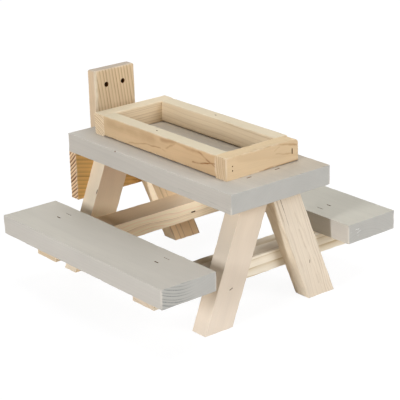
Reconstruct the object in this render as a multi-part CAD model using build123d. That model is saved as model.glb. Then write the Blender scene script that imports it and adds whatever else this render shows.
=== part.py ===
from build123d import *
import math
import os

# Squirrel feeder in the form of a small picnic table, stapled together from pine.
# Millimetres. +Z up, +X away from the wall, +Y toward the right-hand bench.
# The origin is on the floor, in the middle of the whole feeder.

# Timber stock
board_t = 20.0          # thickness of table top, benches, legs and rails
batten_w = 33.0         # width of the legs and of the cross rails
slat_w = 52.0           # width of the two thin boards at the wall end
slat_t = 12.0           # thickness of those two boards
edge_ease = 0.8         # radius of the sanded edges

# Table top
table_l = 266.0
table_w = 127.0
table_h = 144.0         # floor to the upper face

# Benches
bench_l = 266.0
bench_w = 65.0
bench_h = 75.0          # floor to the seat
bench_gap = 23.0        # table edge to bench edge, seen from above
bench_shift = 3.5       # benches sit this much further from the wall than the table

# Legs and rails
leg_splay = 22.0        # degrees from upright
leg_top_gap = 0.8       # between the tops of a pair of legs
leg_inset = 16.5        # near end of the table to the near legs
rail_end_set = 20.5     # outer edge of a bench to the end of the rail

# Tray
tray_l = 214.0
tray_w = 93.0
tray_h = 23.0
tray_wall = 16.0
tray_set_back = 20.5    # wall end of the table to the tray
tray_set_side = 4.0     # tray's middle to the table's middle, toward the right bench
tray_side_gap = 0.8     # daylight under the two long sides
tray_corner_r = 5.0     # worn upper corner of the near end wall

# Mount board
mount_l = 132.0
screw_hole_d = 5.0
screw_hole_gap = 21.5   # hole to hole
screw_hole_drop = 17.0  # top edge to the holes

# Wire staples and brads
crown_w = 5.8
wire_w = 1.25           # across the wire, as seen on the crown
wire_t = 1.0            # through the wire
staple_sink = 1.2       # crown below the surface
staple_l = 35.0
long_staple_l = 40.0
short_staple_l = 22.0
brad_l = 35.0
brad_head_w = 2.4
brad_head_t = 1.2
bench_staple_gap = 12.5     # between the two staples of a bench joint
bench_staple_in = 12.0      # middle of a bench to the middle of the two staples
leg_staple_drop = 4.5       # middle of a rail down to the staples driven through a leg
rail_staple_drop = 1.5      # middle of a rail down to the staples driven through it
cleat_staple_rise = 10.0    # middle of the cleat up or down to its staples
mount_staple_gap = 20.0     # between the two staples of each row in the mount board
brad_set_back = 10.0        # middle of the tray to the brads, toward the wall

LEFT, RIGHT = -1, 1
X, Y, Z = Vector(1, 0, 0), Vector(0, 1, 0), Vector(0, 0, 1)
HUNG = (Align.CENTER, Align.CENTER, Align.MAX)

# Places along X, from the wall outward
front_reach = max(table_l / 2, bench_l / 2 + bench_shift)
back_reach = table_l / 2 + slat_t
table_x = (back_reach - front_reach) / 2
far_end_x = table_x - table_l / 2
near_end_x = table_x + table_l / 2
mount_x = far_end_x - slat_t / 2
cleat_x = far_end_x + slat_t / 2
far_leg_x = far_end_x + slat_t + board_t / 2
near_leg_x = near_end_x - leg_inset - board_t / 2
leg_to_rail = (board_t + batten_w) / 2
far_rail_x = far_leg_x + leg_to_rail
near_rail_x = near_leg_x - leg_to_rail
tray_far_x = far_end_x + tray_set_back
tray_near_x = tray_far_x + tray_l
tray_x = (tray_far_x + tray_near_x) / 2

# Places across Y
bench_y = table_w / 2 + bench_gap + bench_w / 2
rail_l = 2 * (bench_y + bench_w / 2 - rail_end_set)
tray_side_y = (tray_w - tray_wall) / 2

# Heights
under_z = table_h - board_t
rail_z = bench_h - board_t - board_t / 2
cleat_z = under_z - slat_w / 2
mount_low_z = under_z - slat_w
mount_top_z = mount_low_z + mount_l

# A leg is a sawn strip, cut level at the floor and under the table
leg_slope = math.tan(math.radians(leg_splay))
leg_cut_w = batten_w / math.cos(math.radians(leg_splay))


def leg_y(z):
    """Distance of a leg's middle from the centre line at height z."""
    return leg_top_gap / 2 + leg_cut_w / 2 + (under_z - z) * leg_slope


def eased(solid):
    """The solid with all its edges sanded round."""
    return fillet(solid.edges(), edge_ease)


def board(size, centre):
    """A planed board of the given size round its centre."""
    return Pos(*centre) * eased(Box(*size))


def leg(x, side):
    """One splayed leg, its broad faces square to X."""
    half = leg_cut_w / 2
    outline = [
        (side * (leg_y(under_z) - half), under_z),
        (side * (leg_y(under_z) + half), under_z),
        (side * (leg_y(0) + half), 0),
        (side * (leg_y(0) - half), 0),
    ]
    face = make_face(Plane.YZ * Polyline(*outline, close=True))
    return Pos(x, 0, 0) * eased(extrude(face, board_t / 2, dir=(1, 0, 0), both=True))


def near_tray_end():
    """End wall of the tray away from the wall, with one worn upper corner."""
    blank = Box(tray_wall, tray_w, tray_h)
    corner = blank.edges().filter_by(Axis.X).sort_by(lambda e: e.center().Y + e.center().Z)[-1]
    worn = fillet(corner, tray_corner_r)
    return Pos(tray_near_x - tray_wall / 2, tray_set_side, table_h + tray_h / 2) * eased(worn)


def tray_side(side):
    """Long wall of the tray, fitted between the end walls, just clear of the table."""
    height = tray_h - tray_side_gap
    size = (tray_l - 2 * tray_wall, tray_wall, height)
    middle_z = table_h + tray_side_gap + height / 2
    return board(size, (tray_x, tray_set_side + side * tray_side_y, middle_z))


def mount_board():
    """Upright board behind the table, with two screw holes near its top."""
    blank = board((slat_t, slat_w, mount_l), (mount_x, 0, mount_low_z + mount_l / 2))
    drill = Rot(0, 90, 0) * Cylinder(screw_hole_d / 2, 2 * slat_t)
    hole_z = mount_top_z - screw_hole_drop
    for side in (LEFT, RIGHT):
        blank -= Pos(mount_x, side * screw_hole_gap / 2, hole_z) * drill
    return blank


def sunk(wire, head_w, at, drive, crown):
    """A wire fastener driven just below the surface, and the slot above its head."""
    slot = Box(head_w, wire_w, 2 * staple_sink, align=(Align.CENTER, Align.CENTER, Align.MIN))
    plane = Plane(origin=at + drive * staple_sink, x_dir=crown, z_dir=-drive)
    return plane * wire, plane * slot


def staple(at, drive, crown, length):
    """A staple at a point of the surface, driven one way, its crown lying another."""
    prong_x = (crown_w - wire_t) / 2
    wire = Box(crown_w, wire_w, wire_t, align=HUNG)
    for side in (LEFT, RIGHT):
        wire += Pos(side * prong_x, 0, 0) * Box(wire_t, wire_w, length, align=HUNG)
    return sunk(wire, crown_w, at, drive, crown)


def brad(at, drive, crown):
    """A headed brad at a point of the surface."""
    wire = Box(brad_head_w, wire_w, brad_head_t, align=HUNG)
    wire += Box(wire_t, wire_w, brad_l, align=HUNG)
    return sunk(wire, brad_head_w, at, drive, crown)


def bench_staples(side, rail_x):
    """Two staples, down through a bench into a rail."""
    middle = bench_y - bench_staple_in
    places = (middle - bench_staple_gap / 2, middle + bench_staple_gap / 2)
    return [staple(Vector(rail_x, side * y, bench_h), -Z, X, staple_l) for y in places]


def leg_staple(leg_x, side, outward):
    """Through a leg's outer face into the rail."""
    z = rail_z - leg_staple_drop
    at = Vector(leg_x + outward * board_t / 2, side * leg_y(z), z)
    return [staple(at, X * -outward, Y, staple_l)]


def rail_staple(rail_x, side, outward):
    """Through a rail's inner face into the leg."""
    z = rail_z - rail_staple_drop
    at = Vector(rail_x - outward * batten_w / 2, side * leg_y(z), z)
    return [staple(at, X * outward, Y, long_staple_l)]


def table_staple(leg_x, side):
    """Down through the table top into the head of a leg."""
    return [staple(Vector(leg_x, side * leg_y(under_z), table_h), -Z, Y, staple_l)]


def cleat_staples(side):
    """Two staples, through the cleat into a far leg."""
    heights = (cleat_z - cleat_staple_rise, cleat_z + cleat_staple_rise)
    return [staple(Vector(far_end_x, side * leg_y(z), z), X, Z, short_staple_l) for z in heights]


def mount_staples(z, length):
    """A row of two staples, through the mount board from the wall side."""
    back_x = far_end_x - slat_t
    places = (-mount_staple_gap / 2, mount_staple_gap / 2)
    return [staple(Vector(back_x, y, z), X, Y, length) for y in places]


def tray_staple(end_x, side, outward):
    """Through an end wall of the tray into the end of a long wall."""
    at = Vector(end_x, tray_set_side + side * tray_side_y, table_h + tray_h / 2)
    return [staple(at, X * -outward, Z, staple_l)]


def tray_brad(side):
    """Down through a long wall of the tray into the table top."""
    at = Vector(tray_x - brad_set_back, tray_set_side + side * tray_side_y, table_h + tray_h)
    return [brad(at, -Z, X)]


def fasten(outer, inner, group, driven):
    """Let a group of fasteners into the piece that they enter first and the one behind it."""
    for wire, slot in driven:
        parts[outer] = parts[outer] - wire - slot
        parts[inner] = parts[inner] - wire
        fasteners.setdefault(group, []).append(wire)


ends = {"near": (near_leg_x, near_rail_x, tray_near_x, 1), "far": (far_leg_x, far_rail_x, tray_far_x, -1)}
sides = {"left": LEFT, "right": RIGHT}
parts = {}
fasteners = {}

# Timber
parts["table_top"] = board((table_l, table_w, board_t), (table_x, 0, table_h - board_t / 2))
parts["wall_cleat"] = board((slat_t, table_w, slat_w), (cleat_x, 0, cleat_z))
parts["mount_board"] = mount_board()
parts["tray_end_near"] = near_tray_end()
parts["tray_end_far"] = board((tray_wall, tray_w, tray_h),
                              (tray_far_x + tray_wall / 2, tray_set_side, table_h + tray_h / 2))
for side_name, side in sides.items():
    parts[f"bench_{side_name}"] = board((bench_l, bench_w, board_t),
                                        (table_x + bench_shift, side * bench_y, bench_h - board_t / 2))
    parts[f"tray_side_{side_name}"] = tray_side(side)
for end_name, (leg_x, rail_x, _, _) in ends.items():
    parts[f"cross_rail_{end_name}"] = board((batten_w, rail_l, board_t), (rail_x, 0, rail_z))
    for side_name, side in sides.items():
        parts[f"leg_{end_name}_{side_name}"] = leg(leg_x, side)

# Fasteners
for end_name, (leg_x, rail_x, tray_end_x, outward) in ends.items():
    rail = f"cross_rail_{end_name}"
    for side_name, side in sides.items():
        leg_name = f"leg_{end_name}_{side_name}"
        fasten(f"bench_{side_name}", rail, f"bench_staples_{side_name}", bench_staples(side, rail_x))
        fasten(leg_name, rail, "leg_staples", leg_staple(leg_x, side, outward))
        fasten(rail, leg_name, "rail_staples", rail_staple(rail_x, side, outward))
        fasten("table_top", leg_name, "table_staples", table_staple(leg_x, side))
        fasten(f"tray_end_{end_name}", f"tray_side_{side_name}", "tray_corner_staples",
               tray_staple(tray_end_x, side, outward))
for side_name, side in sides.items():
    fasten("wall_cleat", f"leg_far_{side_name}", "cleat_staples", cleat_staples(side))
    fasten(f"tray_side_{side_name}", "table_top", "tray_brads", tray_brad(side))
fasten("mount_board", "table_top", "mount_staples_upper", mount_staples(table_h - board_t / 2, staple_l))
fasten("mount_board", "wall_cleat", "mount_staples_lower", mount_staples(cleat_z, short_staple_l))
for group, wires in fasteners.items():
    parts[group] = Compound(children=wires)

os.makedirs("parts", exist_ok=True)
for node, shape in parts.items():
    export_step(shape, f"parts/{node}.step")
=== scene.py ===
import math
import bpy
from mathutils import Euler, Matrix, Vector


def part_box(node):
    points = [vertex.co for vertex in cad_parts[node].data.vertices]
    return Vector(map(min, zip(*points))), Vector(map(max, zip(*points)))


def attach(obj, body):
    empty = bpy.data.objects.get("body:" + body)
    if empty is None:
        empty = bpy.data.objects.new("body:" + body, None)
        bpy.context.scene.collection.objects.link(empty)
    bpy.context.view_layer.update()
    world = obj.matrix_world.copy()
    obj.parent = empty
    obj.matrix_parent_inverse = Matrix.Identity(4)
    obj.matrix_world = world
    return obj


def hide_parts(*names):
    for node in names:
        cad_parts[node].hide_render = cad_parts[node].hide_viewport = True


# Picnic-table squirrel feeder: planed pine boards, stapled, with the table top
# and the benches stained grey. Metres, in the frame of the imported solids.
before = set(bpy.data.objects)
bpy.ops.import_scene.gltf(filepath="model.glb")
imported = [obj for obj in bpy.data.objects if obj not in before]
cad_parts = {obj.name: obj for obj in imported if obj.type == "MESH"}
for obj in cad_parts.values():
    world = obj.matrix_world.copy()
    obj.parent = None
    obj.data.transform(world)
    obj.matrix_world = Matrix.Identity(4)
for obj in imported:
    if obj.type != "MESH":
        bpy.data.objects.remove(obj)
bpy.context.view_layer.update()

MM = 0.001
BODY = "root"

# Camera of the photograph: place, turn and lens for a square picture
CAMERA_AT = Vector((1.14076, -0.90576, 0.61845))
CAMERA_FORWARD = Vector((-0.73266156, 0.58787689, -0.34293994))
CAMERA_UP = Vector((-0.24987864, 0.23634328, 0.93899016))
SENSOR_MM = 36.0
LENS_MM = 135.07

# Timber
EASE = 0.3 * MM             # radius of the sanded edges
TRAY_EASE = 1.5 * MM        # long edges of the tray's walls
HEAD_EASE = 2.0 * MM        # mount board's top edges
WORN_CORNER = 5.0 * MM      # rounded upper corner of the tray's near end
SLICE = 6.0 * MM            # length of the mesh's cells along a board
LEG_SPLAY = 22.0            # degrees from upright
TOUCH = 0.01 * MM           # points this close are on a face
PLANING = 0.3 * MM          # unevenness of a planed face
HANDLING = 1.0 * MM         # unevenness of an edge
SHARP = 40.0                # degrees at which two faces of a block make an edge to be sanded
SMOOTH = 35.0               # degrees up to which neighbouring faces are shaded as one

# Patterns in the wood
FIBRE = (1.0, 30.0)         # millimetres across and along the grain
BLOTCH = (25.0, 90.0)
# the drawn lines of sapwood and of painted shadow tremble as far as those of heavy grain
LINE_STRAY = 2.0 * MM      # how far a heavy grain line trembles
SCRATCH_STRAY = 0.4 * MM    # and a scratch
TREMBLE = 8.0 * MM          # a drawn line strays about this often,
FADE = 14.0 * MM            # and fades about this often
RUBBED_FROM = 0.4 * MM      # rubbed wood is palest this near to an edge,
RUBBED_TO = 2.0 * MM        # and ends this far from it
RUBBED_PATCH = 12.0 * MM
TUFT = 0.7 * MM             # torn fibres

# Colours beside those of each board's own wood
SAPWOOD = "#EBDDC0"
SUNNED_PINE = "#DDD2B6"
RUBBED_PINE = "#EBDDC6"
RUBBED_STAIN = "#DAD5CB"
SCRATCHED_STAIN = "#E4E6E4"
# torn wood inside holes, pits and cracks: partly its own dark fibres, partly painted shade for the recesses
TORN_DARK_WITH_SHADE = "#452A12"
TORN_PALE_WITH_SHADE = "#86582C"
WIRE_DARK = "#3A2F25"
WIRE_PALE = "#6E6256"

# Screw holes of the mount board
SCREW_HOLE_R = 2.5 * MM
SCREW_HOLE_Y = 10.75 * MM   # middle of the board to a hole
SCREW_HOLE_DROP = 17.0 * MM
HOLE_TALL = 1.08            # torn a little along the grain
HOLE_SIDES = 28
HOLE_TORN = 1.4 * MM        # unevenness of its wall

# Marks of drying and use
LIFT_FROM = -4.0 * MM       # Y from which the tray's near end stands clear of the table
LIFT = 1.1 * MM
LIFT_SPARE = 4.0 * MM       # the wedge under it is this much longer
CRACK_HEAD = (12.8 * MM, 116.0 * MM)    # Y and Z of the drying crack in the near right leg
CRACK_FOOT = (24.0 * MM, 85.5 * MM)
CRACK_WIDTH = 0.5 * MM      # at its head
CRACK_TAPER = 0.35          # width at its foot over that at its head
CRACK_DEPTH = 0.8 * MM
CRACK_WAVE = 0.4 * MM       # unevenness of its sides
CRACK_STEP = 4.0 * MM       # length of its mesh's cells
TABLE_DENT_X = -44.8 * MM
DENT_R = 0.9 * MM
DENT_DROP = 0.6 * MM        # below the table's top
DENT_TORN = 0.6 * MM        # unevenness of a bruise
LEG_SPLIT_Z = 83.0 * MM
LEG_SPLIT_IN = 0.9 * MM     # from the leg's edge
LEG_SPLIT_R = 0.6 * MM
LEG_SPLIT_TALL = 5.0        # its height over its width

# Pits that the staples leave
BENCH_STAPLE_IN = 12.0 * MM     # middle of a bench to the middle of a pair of staples
PIT_SPARE = 0.1 * MM        # wood crushed beside the wire
PIT_DEPTH = 1.25 * MM
PIT_CORNER = 0.3            # its cut corners over its width
SPLIT_FURTHER = 3.0 * MM    # the wood has split along the grain beyond the crown,
SPLIT_ON = {"shut": 0.6 * MM, "long": 0.8 * MM}     # and shut again over some staples
DOT = 1.3 * MM              # pits of the two prongs, where the crown doesn't show
# width, length and turn from upright, in degrees, of a split along the grain and a slanted slit
SLITS = {"split": (0.7 * MM, 3.6 * MM, 0), "slash": (0.8 * MM, 4.5 * MM, 71)}

# Studio
LAMP_AIM = Vector((0, 0, 0.1))
LAMP_AWAY = 3.0
DAYLIGHT = (0.98, 1.0, 1.04)
FLOOR_SIZE = 12.0
PAPER = (0.78, 0.68, 0.58, 1)           # the floor, as it throws light back up
PAPER_IN_LIGHT = (0.11, 0.11, 0.11, 1)  # the part of its look that shadows can darken,
PAPER_GLOW = 0.93                       # and the part that they can't


# Nodes and colours

def linear(hex_colour):
    """An sRGB hex colour as linear RGBA."""
    channels = [int(hex_colour[i:i + 2], 16) / 255 for i in (1, 3, 5)]
    return [c / 12.92 if c <= 0.04045 else ((c + 0.055) / 1.055) ** 2.4 for c in channels] + [1.0]


def add(tree, kind, inputs=None, **settings):
    """Add a shader node with its settings, and set or link its inputs."""
    node = tree.nodes.new(f"ShaderNode{kind}")
    for name, value in settings.items():
        setattr(node, name, value)
    for socket, value in (inputs or {}).items():
        if isinstance(value, bpy.types.NodeSocket):
            tree.links.new(value, node.inputs[socket])
        else:
            node.inputs[socket].default_value = value
    return node


def mixed(tree, share, first, second):
    """A blend of two colours: the first at share 0, the second at 1."""
    return add(tree, "Mix", {"Factor": share, 6: first, 7: second}, data_type="RGBA").outputs[2]


def remapped(tree, value, start, end, first, last, **settings):
    """A value taken from the range start to end into the range first to last, and held there."""
    return add(tree, "MapRange", {"Value": value, "From Min": start, "From Max": end,
                                  "To Min": first, "To Max": last}, **settings).outputs[0]


# Timber materials

def growth_rings(tree, grain):
    """Latewood darkness, fibre streaks and blotches of one board.

    A board is cut from a trunk, so its figure is the trunk's rings: circles about
    the pith, wavy along it. The same rings give stripes, flames and end-grain arcs.
    """
    place = add(tree, "TexCoord")
    trunk = add(tree, "Mapping", {
        "Vector": place.outputs["Object"], "Location": [c * MM for c in grain["pith"]],
        "Rotation": Euler([math.radians(a) for a in grain["turn"]]),
        "Scale": (MM, MM, MM)}, vector_type="TEXTURE")

    # slow wander of the trunk, tens of millimetres across and several times that along the grain
    across, along = grain["wander"]
    wander_place = add(tree, "VectorMath", {
        0: trunk.outputs[0], 1: (1 / across, 1 / across, 1 / along),
        2: (grain["seed"], grain["seed"], 0)}, operation="MULTIPLY_ADD")
    wander = add(tree, "TexNoise", {"Vector": wander_place.outputs[0], "Scale": 1.0, "Detail": 2.0})
    either_way = add(tree, "VectorMath", {0: wander.outputs["Color"], 1: (0.5, 0.5, 0.5)},
                     operation="SUBTRACT")
    wavy = add(tree, "VectorMath", {
        0: either_way.outputs[0], 1: (grain["wave"], grain["wave"], 0), 2: trunk.outputs[0]},
        operation="MULTIPLY_ADD")
    flat = add(tree, "VectorMath", {0: wavy.outputs[0], 1: (1, 1, 0)}, operation="MULTIPLY")
    radius = add(tree, "VectorMath", {0: flat.outputs[0]}, operation="LENGTH")
    count = add(tree, "Math", {0: radius.outputs["Value"], 1: grain["ring"]}, operation="DIVIDE")

    # good and bad years: ring widths and darkness differ
    years = add(tree, "TexNoise", {"W": count.outputs[0], "Scale": 0.45, "Detail": 1.0},
                noise_dimensions="1D")
    uneven = add(tree, "Math", {0: years.outputs[0], 1: grain["uneven"], 2: count.outputs[0]},
                 operation="MULTIPLY_ADD")
    season = add(tree, "Math", {0: uneven.outputs[0]}, operation="FRACT")
    # wood darkens slowly through a year and turns pale again at once
    late = add(tree, "ValToRGB", {"Fac": season.outputs[0]})
    stops = ((0.0, 0.0), (0.4, 0.05), (0.75, 0.45), (0.9, 1.0), (0.96, 0.95), (1.0, 0.0))
    while len(late.color_ramp.elements) < len(stops):
        late.color_ramp.elements.new(0.5)
    for element, (position, value) in zip(late.color_ramp.elements, stops):
        element.position = position
        element.color = (value, value, value, 1)
    line = add(tree, "Math", {0: late.outputs["Color"], 1: grain["narrow"]}, operation="POWER")
    year = add(tree, "Math", {0: uneven.outputs[0]}, operation="FLOOR")
    strength = add(tree, "TexWhiteNoise", {"W": year.outputs[0]}, noise_dimensions="1D")
    weight = remapped(tree, strength.outputs["Value"], 0, 1, grain["faint"], 1)
    rings = add(tree, "Math", {0: line.outputs[0], 1: weight}, operation="MULTIPLY")

    # fibres are under a tenth of a millimetre wide: drawn as streaks of about 1 x 30 mm, so that they show
    across, along = FIBRE
    fibre_place = add(tree, "VectorMath", {
        0: wavy.outputs[0], 1: (1 / across, 1 / across, 1 / along)}, operation="MULTIPLY")
    fibres = add(tree, "TexNoise", {"Vector": fibre_place.outputs[0], "Scale": 1.0, "Detail": 3.0})
    # a ring's line is broken by the fibres that cross the face
    broken = remapped(tree, fibres.outputs[0], 0.38, 0.58, 1 - grain["broken"], 1.1)
    rings = add(tree, "Math", {0: rings.outputs[0], 1: broken}, operation="MULTIPLY")
    # soft blotches of heartwood and damp
    across, along = BLOTCH
    blotch_place = add(tree, "VectorMath", {
        0: wavy.outputs[0], 1: (1 / across, 1 / across, 1 / along),
        2: (0, grain["seed"], 0)}, operation="MULTIPLY_ADD")
    blotches = add(tree, "TexNoise", {"Vector": blotch_place.outputs[0], "Scale": 1.0, "Detail": 2.0})
    return rings.outputs[0], fibres.outputs[0], blotches.outputs[0]


def by_face(tree, values):
    """The first, second or third value on the faces that look along X, Y or Z, and a blend between them."""
    facing = add(tree, "NewGeometry")
    squares = add(tree, "VectorMath", {0: facing.outputs["Normal"], 1: facing.outputs["Normal"]},
                  operation="MULTIPLY")
    return add(tree, "VectorMath", {0: squares.outputs[0], 1: values},
               operation="DOT_PRODUCT").outputs["Value"]


def drawn_lines(tree, lines, stray):
    """The strength of each line along its points, 0 beside it: heavy grain, sapwood, scratches, and painted
    contact shadow at the foot of the tray walls.
    """
    place = add(tree, "TexCoord")
    # the line strays to either side
    tremble = add(tree, "TexNoise", {"Vector": place.outputs["Object"], "Scale": 1 / TREMBLE,
                                     "Detail": 2.0})
    either_way = add(tree, "VectorMath", {0: tremble.outputs["Color"], 1: (0.5, 0.5, 0.5)},
                     operation="SUBTRACT")
    shaken = add(tree, "VectorMath", {
        0: either_way.outputs[0], 1: (stray, stray, stray), 2: place.outputs["Object"]},
        operation="MULTIPLY_ADD")
    drawn = None
    for points, width, strength in lines:
        gap = None
        for start, end in zip(points, points[1:]):
            start = Vector(start) * MM
            way = Vector(end) * MM - start
            from_start = add(tree, "VectorMath", {0: shaken.outputs[0], 1: start}, operation="SUBTRACT")
            share = add(tree, "VectorMath", {0: from_start.outputs[0], 1: way / way.length_squared},
                        operation="DOT_PRODUCT")
            held = add(tree, "Clamp", {"Value": share.outputs["Value"]})
            foot = add(tree, "VectorMath", {0: way, "Scale": held.outputs[0]}, operation="SCALE")
            off = add(tree, "VectorMath", {0: from_start.outputs[0], 1: foot.outputs[0]},
                      operation="DISTANCE").outputs["Value"]
            if gap is not None:
                off = add(tree, "Math", {0: gap, 1: off}, operation="MINIMUM").outputs[0]
            gap = off
        line = remapped(tree, gap, 0, width * MM, strength, 0, interpolation_type="SMOOTHSTEP")
        if drawn is not None:
            line = add(tree, "Math", {0: drawn, 1: line}, operation="MAXIMUM").outputs[0]
        drawn = line
    # and fades in and out
    fading = add(tree, "TexNoise", {"Vector": place.outputs["Object"], "Scale": 1 / FADE,
                                    "Detail": 1.0})
    fade = remapped(tree, fading.outputs[0], 0.4, 0.6, 0.45, 1)
    return add(tree, "Math", {0: drawn, 1: fade}, operation="MULTIPLY").outputs[0]


def toned(tree, colour, blotches, fibres, uneven, streaky):
    """A colour made uneven by a board's blotches and fibres."""
    tone = remapped(tree, blotches, 0.3, 0.7, 1 - uneven, 1 + uneven)
    streak = remapped(tree, fibres, 0.3, 0.7, 1 - streaky, 1 + streaky)
    shade = add(tree, "Math", {0: tone, 1: streak}, operation="MULTIPLY")
    return add(tree, "VectorMath", {0: colour, "Scale": shade.outputs[0]}, operation="SCALE").outputs[0]


def tinted_colour_and_light(tree, colour, face_tints_and_painted_light):
    """A colour with one tint for the faces that look along X, one for Y and one for Z: partly the wood's own
    colour on sides and ends, partly painted light that brightens or darkens a whole face as light falls on
    it.
    """
    red, green, blue = [by_face(tree, channel) for channel in zip(*face_tints_and_painted_light)]
    tint = add(tree, "CombineXYZ", {"X": red, "Y": green, "Z": blue})
    return add(tree, "VectorMath", {0: colour, 1: tint.outputs[0]}, operation="MULTIPLY").outputs[0]


def drifted_tone_and_light(tree, colour, tone_and_painted_light_drift, low, high):
    """A colour that changes along one axis of a board, from a share of its length on: on most boards painted
    light and shade, darker where the table or a bench shades the board and brighter where light reaches it.
    """
    axis, first, last, faces, start = tone_and_painted_light_drift
    place = add(tree, "TexCoord")
    parts = add(tree, "SeparateXYZ", {0: place.outputs["Object"]})
    begin = low[axis] + start * (high[axis] - low[axis])
    share = remapped(tree, parts.outputs[axis], begin, high[axis], 0, 1)
    change = mixed(tree, share, (*first, 1), (*last, 1))
    there = mixed(tree, by_face(tree, faces), (1, 1, 1, 1), change)
    return add(tree, "VectorMath", {0: colour, 1: there}, operation="MULTIPLY").outputs[0]


def rubbed(tree, colour, pale, most, low, high, lean):
    """A colour that is paler in patches along the edges of a board, which handling rubs first."""
    place = add(tree, "TexCoord")
    parts = add(tree, "SeparateXYZ", {0: place.outputs["Object"]})
    upright = add(tree, "Math", {0: parts.outputs["Z"], 1: lean, 2: parts.outputs["Y"]},
                  operation="MULTIPLY_ADD")
    straight = add(tree, "CombineXYZ", {
        "X": parts.outputs["X"], "Y": upright.outputs[0], "Z": parts.outputs["Z"]})
    off_middle = add(tree, "VectorMath", {0: straight.outputs[0], 1: (low + high) / 2},
                     operation="SUBTRACT")
    either_side = add(tree, "VectorMath", {0: off_middle.outputs[0]}, operation="ABSOLUTE")
    depth = add(tree, "VectorMath", {0: (high - low) / 2, 1: either_side.outputs[0]},
                operation="SUBTRACT")
    depths = add(tree, "SeparateXYZ", {0: depth.outputs[0]})
    least_xy = add(tree, "Math", {0: depths.outputs["X"], 1: depths.outputs["Y"]}, operation="MINIMUM")
    most_xy = add(tree, "Math", {0: depths.outputs["X"], 1: depths.outputs["Y"]}, operation="MAXIMUM")
    # of the three depths below the faces, the second one is the way to the nearest edge
    next_one = add(tree, "Math", {0: least_xy.outputs[0], 1: depths.outputs["Z"]}, operation="MAXIMUM")
    to_edge = add(tree, "Math", {0: next_one.outputs[0], 1: most_xy.outputs[0]}, operation="MINIMUM")
    edge = remapped(tree, to_edge.outputs[0], RUBBED_FROM, RUBBED_TO, most, 0)
    patches = add(tree, "TexNoise", {"Vector": place.outputs["Object"],
                                     "Scale": 1 / RUBBED_PATCH, "Detail": 3.0})
    patch = remapped(tree, patches.outputs[0], 0.42, 0.62, 0, 1)
    share = add(tree, "Math", {0: edge, 1: patch}, operation="MULTIPLY")
    return mixed(tree, share.outputs[0], colour, linear(pale))


def timber_surface(tree, colour, rings, fibres, rough, relief):
    """Matt planed wood: a roughness that follows the fibres, and slightly raised grain."""
    roughness = remapped(tree, fibres, 0, 1, rough - 0.08, rough + 0.08)
    height = add(tree, "Math", {0: rings, 1: 0.5, 2: fibres}, operation="MULTIPLY_ADD")
    bump = add(tree, "Bump", {"Height": height.outputs[0], "Strength": 0.5, "Distance": relief})
    surface = add(tree, "BsdfPrincipled", {
        "Base Color": colour, "Roughness": roughness, "IOR": 1.5, "Specular IOR Level": 0.08,
        "Normal": bump.outputs[0]})
    add(tree, "OutputMaterial", {"Surface": surface.outputs[0]})


def new_material(name):
    """A material with an empty node tree."""
    material = bpy.data.materials.new(name)
    material.use_nodes = True
    material.node_tree.nodes.clear()
    return material


def bare_pine(name, grain, low, high, lean):
    """Bare planed pine: pale earlywood, honey latewood lines, bleached where it looks up, rubbed edges, and
    painted light and shade.
    """
    material = new_material(name)
    tree = material.node_tree
    rings, fibres, blotches = growth_rings(tree, grain)
    dark = add(tree, "Math", {0: rings, 1: by_face(tree, grain["contrast"])},
               operation="MULTIPLY").outputs[0]
    # drawn dark lines: heavy grain, and on the tray walls painted contact shadow along their foot
    if grain["lines"]:
        heavy = drawn_lines(tree, grain["lines"], LINE_STRAY)
        dark = add(tree, "Math", {0: dark, 1: heavy}, operation="MAXIMUM").outputs[0]
    wood = mixed(tree, dark, linear(grain["early"]), linear(grain["late"]))
    if grain["pale"]:
        sapwood = drawn_lines(tree, grain["pale"], LINE_STRAY)
        wood = mixed(tree, sapwood, wood, linear(SAPWOOD))
    wood = toned(tree, wood, blotches, fibres, uneven=0.06, streaky=grain["streaky"])
    # painted light and shade: the colour factors per face brighten or darken whole faces, and the change
    # along the board one end of it, as light falls on them; part of both is the wood's own colour
    colour = drifted_tone_and_light(tree, tinted_colour_and_light(tree, wood, grain["face_tints_and_painted_light"]), grain["tone_and_painted_light_drift"], low, high)
    # daylight bleaches the faces that look up
    facing = add(tree, "NewGeometry")
    upward = add(tree, "VectorMath", {0: facing.outputs["Normal"], 1: (0, 0, 1)},
                 operation="DOT_PRODUCT")
    sunned = remapped(tree, upward.outputs["Value"], 0.3, 0.95, 0, grain["bleach"])
    bleached = mixed(tree, sunned, colour, linear(SUNNED_PINE))
    worn = rubbed(tree, bleached, RUBBED_PINE, grain["rubbed"], low, high, lean)
    timber_surface(tree, worn, rings, fibres, rough=0.62, relief=0.06 * MM)
    return material


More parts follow.
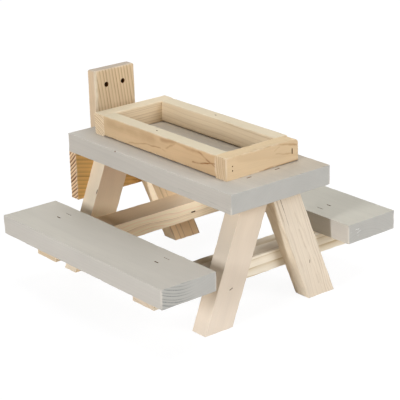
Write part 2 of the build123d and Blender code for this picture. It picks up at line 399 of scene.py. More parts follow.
def grey_stained_pine(name, grain, low, high, lean):
    """Pine under a thin matt grey stain: faint latewood, cooler ends, pale rubbed corners and scratches, and
    some painted light and shade.
    """
    material = new_material(name)
    tree = material.node_tree
    rings, fibres, blotches = growth_rings(tree, grain)
    # the stain lies thicker toward one edge and hides the end grain there
    place = add(tree, "TexCoord")
    parts = add(tree, "SeparateXYZ", {0: place.outputs["Object"]})
    clear, hidden = grain["stain_from_to"]
    thin = remapped(tree, parts.outputs["Y"], clear * MM, hidden * MM, 1, 0.1)
    seen = add(tree, "Math", {0: thin, 1: by_face(tree, grain["contrast"])}, operation="MULTIPLY")
    dark = add(tree, "Math", {0: rings, 1: seen.outputs[0]}, operation="MULTIPLY").outputs[0]
    if grain["lines"]:
        heavy = drawn_lines(tree, grain["lines"], LINE_STRAY)
        dark = add(tree, "Math", {0: dark, 1: heavy}, operation="MAXIMUM").outputs[0]
    body = mixed(tree, by_face(tree, (1, 0, 0)), linear(grain["early"]), linear(grain["early_end"]))
    stain = mixed(tree, dark, body, linear(grain["late"]))
    wood = toned(tree, stain, blotches, fibres, uneven=0.035, streaky=0.015)
    # painted light and shade: the colour factors per face brighten or darken whole faces, and the change
    # along the board one end of it, as light falls on them; part of both is the wood's own colour
    colour = drifted_tone_and_light(tree, tinted_colour_and_light(tree, wood, grain["face_tints_and_painted_light"]), grain["tone_and_painted_light_drift"], low, high)
    # only the upright corners are rubbed
    away = Vector((0, 0, 1))
    colour = rubbed(tree, colour, RUBBED_STAIN, grain["rubbed"], low - away, high + away, lean)
    if grain["scratches"]:
        scratch = drawn_lines(tree, grain["scratches"], SCRATCH_STRAY)
        colour = mixed(tree, scratch, colour, linear(SCRATCHED_STAIN))
    timber_surface(tree, colour, rings, fibres, rough=0.68, relief=0.05 * MM)
    return material


def crushed_pine_and_painted_shade(name):
    """Torn end fibres inside holes, pits and cracks, dark brown with lighter tufts: partly the torn wood's
    own colour, partly painted shade for those recesses.
    """
    material = new_material(name)
    tree = material.node_tree
    place = add(tree, "TexCoord")
    tufts = add(tree, "TexNoise", {"Vector": place.outputs["Object"], "Scale": 1 / TUFT, "Detail": 2.0})
    colour = mixed(tree, tufts.outputs[0], linear(TORN_DARK_WITH_SHADE), linear(TORN_PALE_WITH_SHADE))
    bump = add(tree, "Bump", {"Height": tufts.outputs[0], "Strength": 0.6, "Distance": 0.2 * MM})
    surface = add(tree, "BsdfPrincipled", {
        "Base Color": colour, "Roughness": 0.85, "IOR": 1.5, "Specular IOR Level": 0.1,
        "Normal": bump.outputs[0]})
    add(tree, "OutputMaterial", {"Surface": surface.outputs[0]})
    return material


def galvanised_wire(name):
    """Zinc-coated staple wire gone dull: dark grey-brown metal with darker spots about 1 mm across."""
    material = new_material(name)
    tree = material.node_tree
    place = add(tree, "TexCoord")
    spots = add(tree, "TexNoise", {"Vector": place.outputs["Object"], "Scale": 1 / MM, "Detail": 2.0})
    colour = mixed(tree, spots.outputs[0], linear(WIRE_DARK), linear(WIRE_PALE))
    rough = remapped(tree, spots.outputs[0], 0, 1, 0.4, 0.7)
    surface = add(tree, "BsdfPrincipled", {"Base Color": colour, "Metallic": 1.0, "Roughness": rough})
    add(tree, "OutputMaterial", {"Surface": surface.outputs[0]})
    return material


# Modelling

def select(piece, kind, test):
    """Enter edit mode with only the edges or points of a piece that pass a test selected."""
    bpy.context.view_layer.objects.active = piece
    bpy.ops.object.mode_set(mode="OBJECT")
    mesh = piece.data
    for group in (mesh.vertices, mesh.edges, mesh.polygons):
        group.foreach_set("select", [False] * len(group))
    bpy.context.tool_settings.mesh_select_mode = (kind == "points", kind == "edges", False)
    at = [v.co for v in mesh.vertices]
    if kind == "points":
        for vertex in mesh.vertices:
            vertex.select = test(vertex.co)
    else:
        for edge in mesh.edges:
            edge.select = test(at[edge.vertices[0]], at[edge.vertices[1]])
    bpy.ops.object.mode_set(mode="EDIT")


def runs_along(a, b, axis):
    """True for an edge that runs along one axis."""
    return abs((b - a).normalized()[axis]) > 0.9


def on_arris(a, b, low, high, axis):
    """True for an edge along one axis that lies on an outer edge of a block."""
    others = [i for i in range(3) if i != axis]
    return runs_along(a, b, axis) and all(
        min(abs(p[i] - low[i]), abs(p[i] - high[i])) < TOUCH for p in (a, b) for i in others)


def block(name, middle, size):
    """A plain block at its size and place, to be shaped further."""
    bpy.ops.object.select_all(action="DESELECT")
    bpy.ops.mesh.primitive_cube_add(size=1, location=middle, scale=size)
    piece = bpy.context.object
    piece.name = piece.data.name = name
    bpy.ops.object.transform_apply(location=True, rotation=True, scale=True)
    return piece


def slice_along(piece, axis, step):
    """Divide a block along one axis into slices about one step long."""
    places = [v.co[axis] for v in piece.data.vertices]
    cuts = max(1, round((max(places) - min(places)) / step) - 1)
    select(piece, "edges", lambda a, b: runs_along(a, b, axis))
    bpy.ops.mesh.subdivide(number_cuts=cuts)
    bpy.ops.object.mode_set(mode="OBJECT")


def ease_edges(piece, radius):
    """Sand a block's edges round, and keep them as a group of points."""
    select(piece, "edges", lambda a, b: False)
    bpy.ops.mesh.edges_select_sharp(sharpness=math.radians(SHARP))
    bpy.ops.mesh.bevel(offset=radius, segments=3, affect="EDGES")
    bpy.ops.object.vertex_group_assign_new()
    bpy.ops.object.mode_set(mode="OBJECT")
    piece.vertex_groups[-1].name = "eased"


def wear(piece, clouds, strength, group=""):
    """Make a piece slightly uneven, all over or at a group of points, and split its faces into flat ones."""
    modifier = piece.modifiers.new("wear", "DISPLACE")
    modifier.texture = clouds
    modifier.texture_coords = "GLOBAL"
    modifier.strength = strength
    modifier.vertex_group = group
    bpy.ops.object.modifier_apply(modifier=modifier.name)
    modifier = piece.modifiers.new("split", "TRIANGULATE")
    bpy.ops.object.modifier_apply(modifier=modifier.name)


def cut_out(piece, cutter):
    """Take one piece's shape out of another. The cut faces keep the cutter's material, if it has one."""
    bpy.context.view_layer.objects.active = piece
    modifier = piece.modifiers.new("cut", "BOOLEAN")
    modifier.operation = "DIFFERENCE"
    modifier.solver = "EXACT"
    modifier.material_mode = "TRANSFER" if cutter.data.materials else "INDEX"
    modifier.object = cutter
    bpy.ops.object.modifier_apply(modifier=modifier.name)
    bpy.data.objects.remove(cutter)


# Unevenness: broad waves from the plane, and finer wear along edges
hand_planing = bpy.data.textures.new("hand_planing", "CLOUDS")
hand_planing.noise_scale = 45 * MM
edge_wear = bpy.data.textures.new("edge_wear", "CLOUDS")
edge_wear.noise_scale = 7 * MM
edge_wear.noise_depth = 3
# torn fibres, darkened as painted shade, for the cut faces of holes, pits, cracks and bruises
torn_wood_and_painted_shade = crushed_pine_and_painted_shade("crushed_pine_and_painted_shade")


def wires_of(node):
    """Lowest and highest corner of each separate wire in a fastener group."""
    bpy.ops.object.select_all(action="DESELECT")
    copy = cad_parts[node].copy()
    copy.data = copy.data.copy()
    bpy.context.scene.collection.objects.link(copy)
    copy.select_set(True)
    bpy.context.view_layer.objects.active = copy
    bpy.ops.object.mode_set(mode="EDIT")
    bpy.ops.mesh.select_all(action="SELECT")
    bpy.ops.mesh.remove_doubles(threshold=TOUCH)
    bpy.ops.mesh.separate(type="LOOSE")
    bpy.ops.object.mode_set(mode="OBJECT")
    boxes = []
    for wire in list(bpy.context.selected_objects):
        corners = [Vector(c) for c in wire.bound_box]
        boxes.append((corners[0], corners[6]))
        bpy.data.objects.remove(wire)
    return sorted(boxes, key=lambda box: tuple(box[0]))


def pit(piece, middle, size, axis, turn=0.0):
    """Cut a short slot with cut corners into a board's face."""
    cutter = block("pit", middle, size)
    select(cutter, "edges", lambda a, b: runs_along(a, b, axis))
    narrow = min(size[i] for i in range(3) if i != axis)
    bpy.ops.mesh.bevel(offset=PIT_CORNER * narrow, segments=1, affect="EDGES")
    if turn:
        bpy.ops.mesh.select_all(action="SELECT")
        bpy.ops.transform.rotate(value=math.radians(turn), orient_axis="XYZ"[axis], center_override=middle)
    bpy.ops.object.mode_set(mode="OBJECT")
    cutter.data.materials.append(torn_wood_and_painted_shade)
    cut_out(piece, cutter)


def staple_pit(piece, low, high, axis, face, look):
    """The mark of one wire in a board's face: open, two dots, a slit, or split on along the grain."""
    middle = (low + high) / 2
    middle[axis] = face
    size = high - low
    narrow, wide = sorted((i for i in range(3) if i != axis), key=lambda i: size[i])
    size[axis] = 2 * PIT_DEPTH
    if look == "dots":
        reach = Vector()
        reach[wide] = (size[wide] - DOT) / 2
        size[narrow] = size[wide] = DOT
        pit(piece, middle - reach, size, axis)
        pit(piece, middle + reach, size, axis)
    elif look in SLITS:
        width, length, turn = SLITS[look]
        pit(piece, middle, Vector((2 * PIT_DEPTH, width, length)), axis, turn)
    elif look in SPLIT_ON:
        size[narrow] = SPLIT_ON[look]
        size[wide] += SPLIT_FURTHER
        pit(piece, middle, size, axis)
    else:
        size[narrow] += PIT_SPARE
        size[wide] += PIT_SPARE
        pit(piece, middle, size, axis)


def ragged_hole(piece, place, radius, depth):
    """A round hole along X, torn along the grain."""
    bpy.ops.object.select_all(action="DESELECT")
    bpy.ops.mesh.primitive_cylinder_add(vertices=HOLE_SIDES, radius=radius, depth=depth, location=place,
                                        rotation=(0, math.pi / 2, 0), scale=(HOLE_TALL, 1, 1))
    drill = bpy.context.object
    bpy.ops.object.transform_apply(location=True, rotation=True, scale=True)
    wear(drill, edge_wear, HOLE_TORN)
    drill.data.materials.append(torn_wood_and_painted_shade)
    cut_out(piece, drill)


def dent(piece, place, radius, tall, lean):
    """A small bruise in a board, longer along a leaning grain where it is a split."""
    bpy.ops.object.select_all(action="DESELECT")
    bpy.ops.mesh.primitive_ico_sphere_add(subdivisions=3, radius=radius, location=place,
                                          scale=(1, 1, tall), rotation=(math.atan(lean), 0, 0))
    bruise = bpy.context.object
    bpy.ops.object.transform_apply(location=True, rotation=True, scale=True)
    wear(bruise, edge_wear, DENT_TORN)
    bruise.data.materials.append(torn_wood_and_painted_shade)
    cut_out(piece, bruise)


def drying_crack(piece, face):
    """A crack along the grain in a leg's face, narrower toward its foot."""
    head_y, head_z = CRACK_HEAD
    foot_y, foot_z = CRACK_FOOT
    middle = Vector((face, (head_y + foot_y) / 2, (head_z + foot_z) / 2))
    crack = block("crack", middle, Vector((2 * CRACK_DEPTH, CRACK_WIDTH, head_z - foot_z)))
    select(crack, "points", lambda p: p.z < middle.z)
    bpy.ops.transform.resize(value=(1, CRACK_TAPER, 1), center_override=middle)
    select(crack, "points", lambda p: p.z > middle.z)
    bpy.ops.transform.translate(value=(0, head_y - foot_y, 0))
    bpy.ops.mesh.select_all(action="SELECT")
    bpy.ops.transform.translate(value=(0, (foot_y - head_y) / 2, 0))
    bpy.ops.object.mode_set(mode="OBJECT")
    slice_along(crack, 2, CRACK_STEP)
    wear(crack, edge_wear, CRACK_WAVE)
    crack.data.materials.append(torn_wood_and_painted_shade)
    cut_out(piece, crack)


def lifted_end(piece, low, high):
    """Cut a wedge from under a tray wall, which then stands a little clear of the table at its right."""
    middle = Vector(((low.x + high.x) / 2, (high.y + LIFT_FROM) / 2, low.z - LIFT / 2))
    gap = block("gap", middle, Vector((2 * (high.x - low.x), high.y - LIFT_FROM + LIFT_SPARE, LIFT)))
    select(gap, "points", lambda p: p.z > low.z - TOUCH and p.y > high.y)
    bpy.ops.transform.translate(value=(0, 0, LIFT))
    bpy.ops.object.mode_set(mode="OBJECT")
    cut_out(piece, gap)


# Shapes that differ from a plain board

def long_edges(piece, low, high, axis):
    """Sand the long edges of a tray wall rounder than its sawn ends."""
    select(piece, "edges", lambda a, b: on_arris(a, b, low, high, axis))
    bpy.ops.mesh.bevel(offset=TRAY_EASE, segments=4, affect="EDGES")
    bpy.ops.object.mode_set(mode="OBJECT")


def tray_side(piece, low, high):
    """A long wall of the tray."""
    long_edges(piece, low, high, 0)


def tray_end(piece, low, high):
    """An end wall of the tray."""
    long_edges(piece, low, high, 1)


def worn_tray_end(piece, low, high):
    """The near end wall of the tray, with its upper right corner rounded."""
    def at_corner(a, b):
        return runs_along(a, b, 0) and min(a.y, b.y) > high.y - TOUCH and min(a.z, b.z) > high.z - TOUCH
    select(piece, "edges", at_corner)
    bpy.ops.mesh.bevel(offset=WORN_CORNER, segments=8, affect="EDGES")
    bpy.ops.object.mode_set(mode="OBJECT")


def soft_head(piece, low, high):
    """The mount board, with its top edges rounded more than the others."""
    def around_top(a, b):
        at_top = min(a.z, b.z) > high.z - TOUCH
        return at_top and (on_arris(a, b, low, high, 0) or on_arris(a, b, low, high, 1))
    select(piece, "edges", around_top)
    bpy.ops.mesh.bevel(offset=HEAD_EASE, segments=4, affect="EDGES")
    bpy.ops.object.mode_set(mode="OBJECT")


SHAPES = {"tray_side_left": tray_side, "tray_side_right": tray_side, "tray_end_far": tray_end,
          "tray_end_near": worn_tray_end, "mount_board": soft_head}


def lean_of(node):
    """How far a leg leans outward for each unit of height, toward +Y for a right leg; 0 for other boards."""
    if not node.startswith("leg_"):
        return 0.0
    return math.tan(math.radians(LEG_SPLAY)) * (1 if node.endswith("right") else -1)


def upright_box(node):
    """Lowest and highest corner of a board, with a leg set upright on its foot."""
    low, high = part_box(node)
    lean = lean_of(node) * (high.z - low.z)
    return low + Vector((0, max(lean, 0), 0)), high + Vector((0, min(lean, 0), 0))


def board(node):
    """A planed board with eased, slightly worn edges, where its solid is. A leg's head is pushed over."""
    low, high = upright_box(node)
    middle = (low + high) / 2
    piece = block(node + "_timber", middle, high - low)
    if lean_of(node):
        select(piece, "points", lambda p: p.z > middle.z)
        bpy.ops.transform.translate(value=(0, -lean_of(node) * (high.z - low.z), 0))
        bpy.ops.object.mode_set(mode="OBJECT")
    for axis in range(3):
        slice_along(piece, axis, SLICE)
    if node in SHAPES:
        SHAPES[node](piece, low, high)
    ease_edges(piece, EASE)
    wear(piece, hand_planing, PLANING)
    wear(piece, edge_wear, HANDLING, "eased")
    return piece


def finish_board(piece, node):
    """Shade a board with flat faces and soft edges, and put it in its solid's place."""
    bpy.ops.object.select_all(action="DESELECT")
    piece.select_set(True)
    bpy.context.view_layer.objects.active = piece
    bpy.ops.object.shade_smooth_by_angle(angle=math.radians(SMOOTH))
    modifier = piece.modifiers.new("flat_faces", "WEIGHTED_NORMAL")
    modifier.keep_sharp = True
    bpy.ops.object.modifier_apply(modifier=modifier.name)
    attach(piece, BODY)
    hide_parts(node)


# Figure of each board, in millimetres and degrees.
# pith: a point on the middle of the trunk; turn: from an upright trunk to the way that the board lies;
# ring: width of a year; uneven: how much the years differ; faint: darkness of the faintest year's line;
# narrow: how thin the dark line is; broken: how much the fibres break it; wave and wander: how far the
# rings stray, and over what distance across and along; seed: which part of the endless patterns is used;
# early, early_end and late: colours of early wood, of that on sawn ends, and of late wood;
# contrast and tints: strength of the rings, and colour factors, on faces along X, Y and Z, partly painted
# light that brightens or darkens a whole face; drift: axis along which the colour changes, its factors at
# the start and end, the faces along X, Y and Z that show it, and the share of the board's length where it
# starts, on most boards painted light and shade along the board; streaky: strength of the fibres;
# bleach: of daylight on faces that look up; rubbed: of the paler edges; stain_from_to: Y where the stain
# starts to hide the end grain, and where it hides it;
# lines, pale and scratches: points, width and strength of heavy grain and of painted contact shadow, of
# sapwood, and of scratches.
ALONG_Y = (-90, 0, 0)
LEAN_RIGHT = (-LEG_SPLAY, 0, 0)
LEAN_LEFT = (LEG_SPLAY, 0, 0)
PLAIN = (1.0, 1.0, 1.0)
EVEN = (0, PLAIN, PLAIN, PLAIN, 0)
# the long sides of the grey boards a little darker than their tops
SIDE_TINT = (0.96, 0.96, 0.97)
NOWHERE = (900, 901)


def on_x_face(x, *points):
    """A line on a face that looks along X, through points given by Y and Z."""
    return tuple((x, y, z) for y, z in points)


def on_y_face(y, *points):
    """A line on a face that looks along Y, through points given by X and Z."""
    return tuple((x, y, z) for x, z in points)


PINE = {
    "wander": (45, 160), "wave": 6, "narrow": 1.3, "uneven": 1.4, "broken": 0.4, "faint": 0.6,
    "contrast": (0.5, 0.5, 0.5), "early": "#E4D3BA", "late": "#B08858", "face_tints_and_painted_light": (PLAIN, PLAIN, PLAIN),
    "tone_and_painted_light_drift": EVEN, "streaky": 0.03, "bleach": 0.0, "rubbed": 0.35, "lines": (), "pale": ()}
GREY = {
    "wander": (50, 170), "wave": 6, "narrow": 1.3, "uneven": 1.4, "broken": 0.4, "faint": 0.6,
    "contrast": (0.10, 0.12, 0.10), "early": "#C5C0B6", "early_end": "#B8B8B3", "late": "#8E8F88",
    "face_tints_and_painted_light": (PLAIN, SIDE_TINT, PLAIN), "tone_and_painted_light_drift": EVEN, "rubbed": 0.6, "stain_from_to": NOWHERE,
    "lines": (), "scratches": ()}

GRAIN = {
    "table_top": {
        **GREY, "turn": (0, 91, 1), "pith": (0, 10, 84), "ring": 2.8, "seed": 3,
        "face_tints_and_painted_light": (PLAIN, SIDE_TINT, (1.0, 0.98, 0.96)),
        "tone_and_painted_light_drift": (1, (1.05, 1.06, 1.07), (0.93, 0.87, 0.78), (0, 0, 1), 0),
        "lines": (
            (on_y_face(-63.5, (58, 130), (99, 129.8), (120, 128.6), (138, 127)), 1.2, 0.3),
            (on_y_face(-63.5, (86, 132.3), (99, 133.6), (117, 133.3), (133, 132.7)), 1.0, 0.25))},
    "bench_left": {
        **GREY, "turn": (0, 90, 0.5), "pith": (140, -120, 133), "ring": 2.9, "seed": 7, "wave": 3,
        "contrast": (1.0, 0.06, 0.06), "late": "#626A6A", "stain_from_to": (-132, -112),
        "face_tints_and_painted_light": (PLAIN, (1.0, 1.02, 1.05), (1.02, 1.01, 0.97)),
        # painted light: the top is brighter toward the far end and darker toward the near end, evening out
        # the shade that falls on its far part
        "tone_and_painted_light_drift": (0, (1.03, 1.03, 1.03), (0.95, 0.94, 0.95), (0, 0, 1), 0)},
    "bench_right": {
        **GREY, "turn": (0, 90, -0.5), "pith": (140, 110, 20), "ring": 3.0, "seed": 11,
        "contrast": (0.2, 0.08, 0.08), "face_tints_and_painted_light": (PLAIN, SIDE_TINT, (1.0, 1.0, 0.95)),
        "scratches": (
            (on_x_face(141, (96.5, 68), (98.5, 68.5)), 0.6, 2.2),
            (on_x_face(141, (99.5, 67.5), (101, 68.5)), 0.6, 2.2),
            (on_x_face(141, (101.5, 65.5), (103.5, 66)), 0.6, 2.2),
            (on_x_face(141, (98.5, 64), (101, 65)), 0.6, 2.2),
            (on_x_face(141, (99, 61), (101.5, 61.5)), 0.6, 1.4),
            (on_x_face(141, (89, 66.5), (91, 67)), 0.6, 1.4))},
    "leg_near_left": {
        **PINE, "turn": LEAN_RIGHT, "pith": (110, -140, 60), "ring": 5.0, "seed": 13,
        "contrast": (0.06, 0.05, 0.3), "early": "#E3D4C0", "late": "#C7AA84", "streaky": 0.012,
        "face_tints_and_painted_light": (PLAIN, (1.01, 1.0, 0.985), PLAIN), "rubbed": 0.0,
        # painted shade and light: the leg darkens toward its head, where the table shades it, and brightens
        # toward its foot
        "tone_and_painted_light_drift": (2, (1.07, 1.11, 1.17), (0.85, 0.845, 0.83), PLAIN, 0)},
    "leg_near_right": {
        **PINE, "turn": (19, 0, 0), "pith": (95, 80, 60), "ring": 2.3, "seed": 17, "wave": 5,
        "wander": (18, 60), "narrow": 2.6, "broken": 0.8, "uneven": 3.0, "faint": 0.1,
        "contrast": (0.62, 0.3, 0.4), "early": "#E4D8C5", "late": "#8C7048", "streaky": 0.04,
        # painted light: the inner faces are brightened, most toward the head, though the other leg and the
        # table shade them
        "tone_and_painted_light_drift": (2, (1.06, 1.08, 1.07), (1.12, 1.09, 1.03), (0, 1, 0), 0),
        "lines": (
            (on_x_face(121, (23.5, 84.5), (30.5, 67.5), (37.5, 48.5), (44, 32)), 1.6, 0.18),
            (on_x_face(121, (37.5, 78.5), (43, 65.5), (49.5, 51), (57.5, 31.5), (64.5, 13.5)), 1.6, 0.26),
            (on_x_face(121, (31.5, 97.5), (44, 75), (51.5, 57.5)), 1.6, 0.14),
            (on_x_face(121, (57.5, 42), (69, 11)), 1.6, 0.2))},
    "leg_far_left": {
        **PINE, "turn": LEAN_RIGHT, "pith": (-107, -120, 60), "ring": 4.0, "seed": 19,
        "contrast": (0.04, 0.04, 0.3), "streaky": 0.012,
        # painted light and shade: the front faces, in shade under the table, are brightened above the wood's
        # colour toward the foot and darkened at the head
        "face_tints_and_painted_light": ((1.12, 1.05, 1.01), (1.0, 1.04, 1.07), PLAIN),
        "tone_and_painted_light_drift": (2, (1.34, 1.41, 1.37), (0.86, 0.77, 0.75), (1, 0, 0), 0.35)},
    "leg_far_right": {
        **PINE, "turn": LEAN_LEFT, "pith": (-120, 100, 60), "ring": 7.5, "seed": 23,
        "narrow": 3.2, "uneven": 2.5, "faint": 0.2,
        "contrast": (0.7, 0.3, 0.5), "early": "#F6E6CC", "late": "#6E5834",
        # painted light and shade: the side faces are brightened, and the front faces darken strongly toward
        # the head, where the table shades them
        "face_tints_and_painted_light": ((1.1, 1.06, 1.0), (1.2, 1.2, 1.17), PLAIN),
        "tone_and_painted_light_drift": (2, (1.02, 0.92, 0.8), (0.4, 0.37, 0.33), (1, 0, 0), 0)},
    "cross_rail_near": {
        **PINE, "turn": (-90, 0, 1.5), "pith": (60, 0, -10), "ring": 6.0, "seed": 29, "wave": 8,
        "narrow": 1.2, "contrast": (0.8, 0.4, 0.75), "early": "#EFE4D0", "late": "#AC9050",
        "face_tints_and_painted_light": ((0.98, 1.01, 1.04), (0.80, 0.76, 0.74), (0.94, 0.94, 0.95)),
        # painted light: the rail is brighter toward its right end, under the right bench, which shades it
        # there
        "tone_and_painted_light_drift": (1, (0.95, 0.95, 0.95), (1.2, 1.2, 1.2), PLAIN, 0)},
    "cross_rail_far": {
        **PINE, "turn": (-90, 0, 1.5), "pith": (-80, 0, -50), "ring": 3.8, "seed": 31, "wave": 12,
        "wander": (22, 90), "narrow": 1.0, "uneven": 2.5, "faint": 0.2,
        "contrast": (0.65, 0.4, 0.12), "early": "#F0E0C2", "late": "#837448",
        # painted light and shade: the front faces are brightened, more toward the left end, and the top is
        # darkened, as it lies under the table
        "face_tints_and_painted_light": ((1.25, 1.22, 1.22), (0.78, 0.74, 0.72), (0.90, 0.84, 0.82)),
        "tone_and_painted_light_drift": (1, (1.08, 1.08, 1.08), (0.96, 0.96, 0.96), (1, 0, 0), 0)},
    "wall_cleat": {
        **PINE, "turn": (-103.2, 0, 0), "pith": (-254, -52, 255), "ring": 3.3, "seed": 37, "wave": 2,
        "uneven": 0.3, "narrow": 0.7, "broken": 0.0,
        "contrast": (0.4, 1.6, 0.4), "early": "#E2BD86", "late": "#5A2C10",
        "face_tints_and_painted_light": ((1.1, 1.02, 0.8), (1.14, 1.22, 1.6), PLAIN)},
    "mount_board": {
        **PINE, "turn": (7, -3.4, 0), "pith": (-131.05, -24.3, 200), "ring": 3.9, "seed": 41, "wave": 1.2,
        "uneven": 0.5, "narrow": 1.1,
        "contrast": (0.75, 0.12, 0.12), "early": "#D9C09A", "late": "#87643A",
        "face_tints_and_painted_light": ((0.97, 0.98, 1.02), (1.0, 1.02, 1.14), (0.72, 0.78, 0.98)),
        "pale": ((on_x_face(-128.5, (-25, 202), (-24, 176), (-25, 158)), 3.5, 0.9),)},
    "tray_end_near": {
        **PINE, "turn": (-90, 0, 1), "pith": (170, 0, 165), "ring": 2.9, "seed": 43, "wave": 4,
        "narrow": 1.6, "contrast": (0.12, 0.7, 0.2), "early": "#DCC29D", "late": "#9A6C36",
        "face_tints_and_painted_light": (PLAIN, (0.90, 0.90, 0.92), (1.0, 1.0, 0.95)),
        "lines": (
            (on_x_face(106, (0, 167), (16.7, 166.9), (25.9, 166.1), (34.4, 164.4), (42.3, 162.4), (49, 161)),
             1.8, 0.5),
            (on_x_face(106, (19.3, 160.9), (22.5, 162.2), (25.8, 163.5)), 1.3, 0.4),
            (on_x_face(106, (21.2, 157.7), (29.7, 155.4), (36.3, 154.2), (42.3, 153.1)), 1.5, 0.5),
            # painted shadow: a dark line along the foot of the wall, where it stands a little clear of the
            # table
            (on_x_face(106, (0, 144.5), (50, 145)), 1.6, 0.9))},
    "tray_end_far": {
        **PINE, "turn": ALONG_Y, "pith": (-127, 0, 101), "ring": 2.4, "seed": 47, "wave": 3,
        "contrast": (0.5, 1.0, 0.2), "early": "#E2CDAC", "late": "#96683E", "bleach": 0.4},
    "tray_side_left": {
        **PINE, "turn": (1.2, 90, 1.0), "pith": (0, -95, 140), "ring": 4.5, "seed": 53, "narrow": 2.6,
        "contrast": (0.4, 0.10, 0.12), "early": "#CBAC84", "late": "#86572A", "bleach": 0.8,
        "tone_and_painted_light_drift": (0, (1.02, 1.08, 1.15), (1.0, 0.99, 1.0), (0, 1, 0), 0),
        "lines": (
            (on_y_face(-42.5, (-84, 161), (-45, 160), (-8, 161)), 9.0, 0.22),
            (on_y_face(-42.5, (-48.9, 147.9), (-36.7, 149.4), (-23.2, 152.2), (-12.7, 153), (4.2, 154)),
             1.3, 0.65),
            (on_y_face(-42.5, (6.8, 153.4), (11.8, 152.1)), 1.1, 0.4),
            (on_y_face(-42.5, (13.3, 155.7), (19.8, 159.8), (27.6, 163.6)), 1.6, 0.35),
            (on_y_face(-42.5, (6, 163.1), (16.3, 164.3), (26.4, 165.4)), 4.0, 0.4),
            (on_y_face(-42.5, (26.5, 166.2), (37.6, 164.8), (46.2, 163.5), (54.8, 163.1), (64.5, 163.8)),
             2.6, 0.5),
            (on_y_face(-42.5, (64.5, 163.8), (69.3, 162.6), (75.2, 160), (82.2, 156.9)), 1.8, 0.65),
            (on_y_face(-42.5, (54.9, 151.8), (62.8, 152.5), (75, 155.1), (89.4, 158.2)), 1.4, 0.95),
            (on_y_face(-42.5, (83.4, 156.8), (89.8, 155.2)), 1.2, 0.8),
            # painted shadow: a dark line along the foot of the wall, where it meets the table
            (on_y_face(-42.5, (-92, 145), (89, 145)), 1.6, 0.6))},
    "tray_side_right": {
        **PINE, "turn": (0, 91, 0), "pith": (0, 85, 195), "ring": 3.0, "seed": 59, "narrow": 2.0,
        "contrast": (0.4, 0.35, 0.2), "early": "#DECAAA", "late": "#A27A48", "bleach": 0.5},
}
GREY_BOARDS = ("table_top", "bench_left", "bench_right")

boards = {}
for node, grain in GRAIN.items():
    boards[node] = board(node)
    low, high = upright_box(node)
    if node in GREY_BOARDS:
        timber = grey_stained_pine(f"grey_stained_pine_{node}", grain, low, high, lean_of(node))
    else:
        timber = bare_pine(f"bare_pine_{node}", grain, low, high, lean_of(node))
    boards[node].data.materials.append(timber)

# Screw holes through the mount board
low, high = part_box("mount_board")
hole_z = high.z - SCREW_HOLE_DROP
for y in (-SCREW_HOLE_Y, SCREW_HOLE_Y):
    ragged_hole(boards["mount_board"], ((low.x + high.x) / 2, y, hole_z), SCREW_HOLE_R, 2 * (high.x - low.x))

# Marks of drying and use
drying_crack(boards["leg_near_right"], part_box("leg_near_right")[1].x)
lifted_end(boards["tray_end_near"], *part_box("tray_end_near"))

# A bruise in the table's left edge, and a split along the grain beside an edge of the far left leg
low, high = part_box("table_top")
dent(boards["table_top"], (TABLE_DENT_X, low.y, high.z - DENT_DROP), DENT_R, tall=1.0, lean=0.0)
low, high = upright_box("leg_far_left")
lean = lean_of("leg_far_left")
split_at = (high.x - LEG_SPLIT_IN, low.y - lean * LEG_SPLIT_Z, LEG_SPLIT_Z)
dent(boards["leg_far_left"], split_at, LEG_SPLIT_R, LEG_SPLIT_TALL, lean)

# Boards that the fasteners enter, the axis that their wires follow and the way that the entered face looks
ENTERS = {
    "bench_staples_left": (2, "up", ("bench_left",)),
    "bench_staples_right": (2, "up", ("bench_right",)),
    "table_staples": (2, "up", ("table_top",)),
    "tray_brads": (2, "up", ("tray_side_left", "tray_side_right")),
    "leg_staples": (0, "out", ("leg_near_left", "leg_near_right", "leg_far_left", "leg_far_right")),
    "rail_staples": (0, "in", ("cross_rail_near", "cross_rail_far")),
    "tray_corner_staples": (0, "out", ("tray_end_near", "tray_end_far")),
    "cleat_staples": (0, "back", ("wall_cleat",)),
    "mount_staples_upper": (0, "back", ("mount_board",)),
    "mount_staples_lower": (0, "back", ("mount_board",)),
}


def middle_of(node):
    """The middle of a board's box."""
    low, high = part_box(node)
    return (low + high) / 2


def nearest(names, place):
    """The board whose middle is nearest to a place."""
    return min(names, key=lambda name: (middle_of(name) - place).length)


def pit_look(node, place):
    """How the mark of a staple looks on a board: the wood has closed over some, and others have split it."""
    inner = abs(place.y) < abs(middle_of(node).y) - BENCH_STAPLE_IN
    if node == "bench_left":
        return "shut" if inner else "open"
    if node == "bench_right":
        return "long" if inner else "open"
    if node == "tray_end_near" and place.y < 0:
        return "dots"
    return {"leg_near_left": "slash", "leg_near_right": "split"}.get(node, "open")


for group, (axis, way, names) in ENTERS.items():
    for low, high in wires_of(group):
        place = (low + high) / 2
        node = nearest(names, place)
        near_end = place.x > 0
        highest = way == "up" or (way == "out" and near_end) or (way == "in" and not near_end)
        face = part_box(node)[1 if highest else 0][axis]
        staple_pit(boards[node], low, high, axis, face, pit_look(node, place))

for node, piece in boards.items():
    finish_board(piece, node)

wire = galvanised_wire("galvanised_wire")
for node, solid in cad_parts.items():
    if node not in GRAIN:
        solid.data.materials.clear()
        solid.data.materials.append(wire)

# Studio
bpy.ops.object.select_all(action="DESELECT")
bpy.ops.mesh.primitive_plane_add(size=FLOOR_SIZE, location=(0, 0, 0))
floor = bpy.context.object
floor.name = "studio_floor"


def seen_rays(tree):
    """1 for what the camera sees, also in reflections and through glass, and 0 for light on its way."""
    ray = add(tree, "LightPath")
    seen = add(tree, "Math", {0: ray.outputs["Is Camera Ray"], 1: ray.outputs["Is Glossy Ray"]},
               operation="MAXIMUM")
    return add(tree, "Math", {0: seen.outputs[0], 1: ray.outputs["Is Transmission Ray"]},
               operation="MAXIMUM").outputs[0]


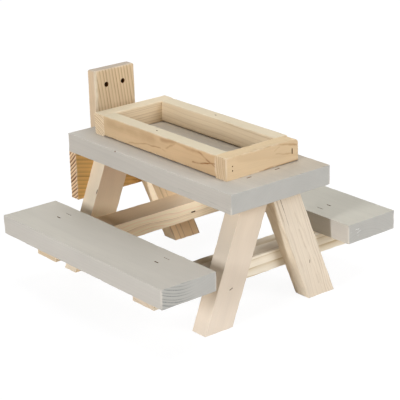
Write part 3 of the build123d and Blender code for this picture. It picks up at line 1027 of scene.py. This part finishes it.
# White paper that looks white under the feeder, keeps its shadow and throws warm light back up
paper = new_material("white_paper")
tree = paper.node_tree
plain = add(tree, "BsdfDiffuse", {"Color": PAPER})
shadowed = add(tree, "BsdfDiffuse", {"Color": PAPER_IN_LIGHT})
glow = add(tree, "Emission", {"Color": (1, 1, 1, 1), "Strength": PAPER_GLOW})
white = add(tree, "AddShader", {0: shadowed.outputs[0], 1: glow.outputs[0]})
look = add(tree, "MixShader", {0: seen_rays(tree), 1: plain.outputs[0], 2: white.outputs[0]})
add(tree, "OutputMaterial", {"Surface": look.outputs[0]})
floor.data.materials.append(paper)

# White backdrop; the lamps alone light the feeder
world = bpy.data.worlds.new("studio")
bpy.context.scene.world = world
world.use_nodes = True
tree = world.node_tree
tree.nodes.clear()
room = add(tree, "Background", {"Color": (1, 1, 1, 1), "Strength": 0.0})
backdrop = add(tree, "Background", {"Color": (1, 1, 1, 1), "Strength": 1.0})
look = add(tree, "MixShader", {0: seen_rays(tree), 1: room.outputs[0], 2: backdrop.outputs[0]})
add(tree, "OutputWorld", {"Surface": look.outputs[0]})


def softbox(name, toward, width, height, power):
    """A lamp that looks at the feeder from one direction."""
    bpy.ops.object.select_all(action="DESELECT")
    place = LAMP_AIM + Vector(toward).normalized() * LAMP_AWAY
    bpy.ops.object.light_add(type="AREA", location=place)
    lamp = bpy.context.object
    lamp.name = name
    lamp.data.shape = "RECTANGLE"
    lamp.data.size = width
    lamp.data.size_y = height
    lamp.data.energy = power
    lamp.data.color = DAYLIGHT
    lamp.rotation_euler = (place - LAMP_AIM).to_track_quat("Z", "Y").to_euler()


softbox("left_softbox", (0.234, -1.0, 0.30), 0.22, 0.9, 60)
softbox("right_softbox", (0.94, 0.34, 0.40), 1.35, 2.1, 57)
softbox("top_softbox", (0, 0, 1), 1.4, 1.4, 40)
softbox("back_softbox", (-0.63, 0.53, 0.57), 1.8, 1.8, 26)

camera_data = bpy.data.cameras.new("photograph_camera")
camera = bpy.data.objects.new("photograph_camera", camera_data)
bpy.context.scene.collection.objects.link(camera)
camera_data.sensor_width = SENSOR_MM
camera_data.lens = LENS_MM
camera_data.clip_end = 50
back = -CAMERA_FORWARD.normalized()
right = CAMERA_UP.cross(back).normalized()
up = back.cross(right)
camera.matrix_world = Matrix.Translation(CAMERA_AT) @ Matrix((right, up, back)).transposed().to_4x4()
bpy.context.scene.camera = camera
bpy.context.scene.view_settings.view_transform = "Standard"
